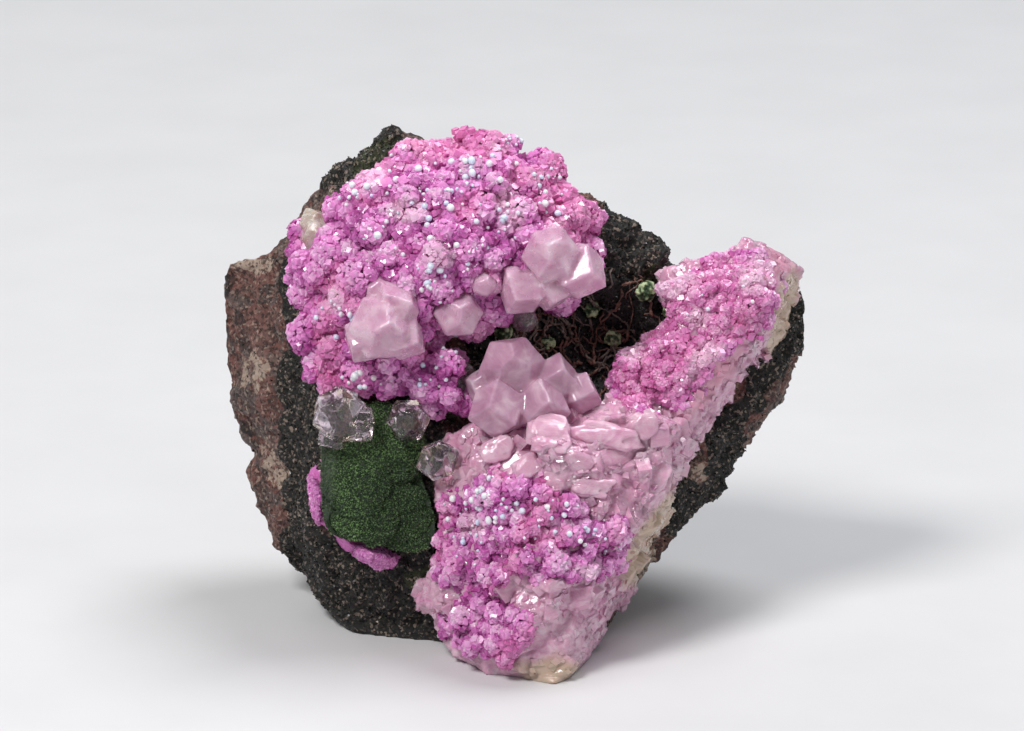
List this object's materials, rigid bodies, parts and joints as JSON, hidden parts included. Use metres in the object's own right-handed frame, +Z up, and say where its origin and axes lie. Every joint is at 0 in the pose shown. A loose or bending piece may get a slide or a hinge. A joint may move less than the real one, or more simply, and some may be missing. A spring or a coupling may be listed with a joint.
{
  "type": "calcite mineral specimen",
  "caption": "Hand-sized mineral specimen: pink calcite druses and pale crystals round a dark hollow on host rock, with a patch of green malachite.",
  "frame": {"origin": "middle of the foot of the box round the specimen, on the surface that it rests on", "axes": "+Z up, +X to the right and +Y to the back, as seen by someone who faces the crystals; the crystal-bearing face looks to -Y and leans back 18 degrees"},
  "size_m": [0.0588, 0.0404, 0.0503],
  "materials": {
    "rock": "brown-red and grey breccia with cream streaks, black sparkly patches, dull and rough",
    "lining": "black and dark brown fibrous crust with red-brown twigs and glinting grains",
    "orchid_druse": "orchid-pink druse of small glassy crystals, paler at the tips, with pale blue-white beads",
    "pale_calcite": "massive icy pink calcite, glassy on its cleavage faces, with orchid druse in its pockets",
    "malachite": "dark green velvet of very fine grains",
    "milky_crystal": "milky pale pink crystal with bright faces",
    "clear_crystal": "almost clear, faintly grey crystal",
    "smoky_crystal": "grey-brown, half see-through crystal",
    "cream_crystal": "milky cream crystal"
  },
  "bodies": {
    "root": {"host_rock": "rock", "hollow_lining": "lining", "upper_druse": "orchid_druse", "lower_calcite": "pale_calcite", "pink_sill": "orchid_druse", "malachite_patch": "malachite", "west_crystal": "milky_crystal", "mid_crystal": "milky_crystal", "small_crystal": "milky_crystal", "north_cluster": "milky_crystal", "centre_cluster": "milky_crystal", "clear_crystal_west": "clear_crystal", "clear_crystal_mid": "clear_crystal", "clear_crystal_east": "clear_crystal", "smoky_crystal_north": "smoky_crystal", "smoky_crystal_west": "smoky_crystal", "cream_crystal": "cream_crystal", "malachite_ball_1": "malachite", "malachite_ball_2": "malachite", "malachite_ball_3": "malachite", "malachite_ball_4": "malachite", "malachite_ball_5": "malachite", "malachite_ball_6": "malachite"}
  },
  "joints": []
}
